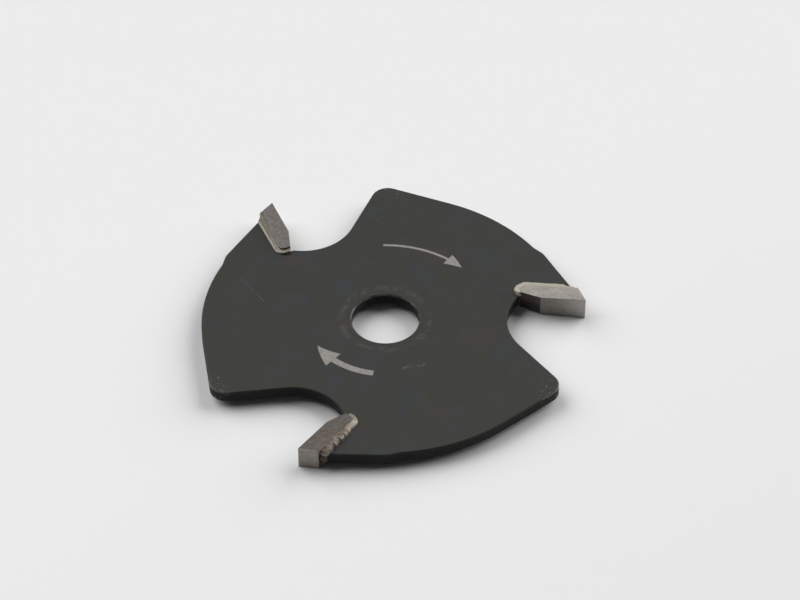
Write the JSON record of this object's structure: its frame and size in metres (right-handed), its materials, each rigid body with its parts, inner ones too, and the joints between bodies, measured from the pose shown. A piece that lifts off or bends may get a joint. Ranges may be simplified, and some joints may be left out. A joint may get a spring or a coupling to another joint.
{
  "type": "slotting cutter",
  "caption": "Thin three-wing slotting cutter: a blackened steel disc with a plain bore and carbide tips brazed into seats at the rim.",
  "frame": {"origin": "on the bore axis, at half the thickness of the plate", "axes": "+Z along the bore axis, +X from the axis to the first cutting corner; seen from +Z the cutter turns clockwise"},
  "size_m": [0.0455, 0.0448, 0.003],
  "materials": {
    "body_steel": "matte black oxide on flat-ground steel",
    "tip_carbide": "fine diamond-ground tungsten carbide",
    "braze_alloy": "silver braze, beaded and slightly scorched"
  },
  "bodies": {
    "root": {"cutter_body": "body_steel", "carbide_tip_1": "tip_carbide", "carbide_tip_2": "tip_carbide", "carbide_tip_3": "tip_carbide", "braze_seam_1": "braze_alloy", "braze_seam_2": "braze_alloy", "braze_seam_3": "braze_alloy"}
  },
  "joints": []
}
